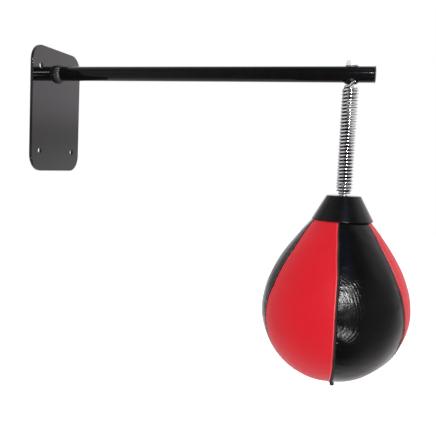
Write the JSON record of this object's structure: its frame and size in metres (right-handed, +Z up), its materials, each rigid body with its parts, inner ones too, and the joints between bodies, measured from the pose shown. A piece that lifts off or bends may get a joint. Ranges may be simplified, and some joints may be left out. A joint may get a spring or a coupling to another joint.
{
  "type": "wall-mounted reflex ball bracket",
  "caption": "Wall bracket for boxing practice: a plate and welded tube arm carry a coned coil spring with a stitched leather reflex ball hung on it.",
  "frame": {"origin": "centre of the arm's axis on the wall plate's back face", "axes": "+X out along the arm away from the wall, +Z up, +Y across the arm"},
  "size_m": [0.6375, 0.2334, 0.54],
  "materials": {
    "bracket_paint": "gloss black paint",
    "black_plastic": "moulded, semi-gloss",
    "spring_chrome": "bright plated wire",
    "zinc_fastener": "bright zinc",
    "red_leather": "smooth coated leather",
    "black_leather": "smooth coated leather",
    "bladder_rubber": "matt",
    "neck_wood": "plain turned"
  },
  "bodies": {
    "bracket": {"wall_plate": "bracket_paint", "arm_tube": "bracket_paint", "root_weld": "bracket_paint", "arm_end_plug": "black_plastic", "arm_saddle": "black_plastic", "top_washer": "zinc_fastener", "top_nut": "zinc_fastener", "upper_spring_bolt": "zinc_fastener", "upper_spring_seat": "zinc_fastener"},
    "spring_mid": {"spring_upper": "spring_chrome"},
    "spring_end": {"spring_lower": "spring_chrome"},
    "lower_seat": {"lower_spring_seat": "zinc_fastener"},
    "ball": {"lower_spring_bolt": "zinc_fastener", "cap_washer": "zinc_fastener", "neck_cap": "black_plastic", "neck_spacer": "black_plastic", "neck_disc": "neck_wood", "neck_washer": "zinc_fastener", "neck_nut": "zinc_fastener", "panel_front_right_black": "black_leather", "panel_right_red": "red_leather", "panel_back_right_black": "black_leather", "panel_back_left_red": "red_leather", "panel_left_black": "black_leather", "panel_front_left_red": "red_leather", "bladder": "bladder_rubber", "valve": "bladder_rubber"}
  },
  "joints": [
    {"name": "bend_across", "type": "hinge", "parent": "bracket", "child": "spring_mid", "pos_m": [0.5208, 0, -0.058], "axis": [1, 0, 0], "range_deg": [-50, 50], "stiffness_Nm_per_rad": 1, "deforming": ["spring_upper"]},
    {"name": "bend_along", "type": "hinge", "parent": "spring_mid", "child": "spring_end", "pos_m": [0.5208, 0, -0.118], "axis": [0, 1, 0], "range_deg": [-50, 50], "stiffness_Nm_per_rad": 1, "deforming": ["spring_lower"]},
    {"name": "stretch", "type": "slide", "parent": "spring_end", "child": "lower_seat", "axis": [0, 0, -1], "range_m": [0, 0.025], "stiffness_N_per_m": 6000, "springref_m": -0.003, "deforming": ["spring_lower"]},
    {"name": "swivel", "type": "hinge", "parent": "lower_seat", "child": "ball", "pos_m": [0.5208, 0, -0.1892], "axis": [0, 0, 1], "continuous": true}
  ]
}
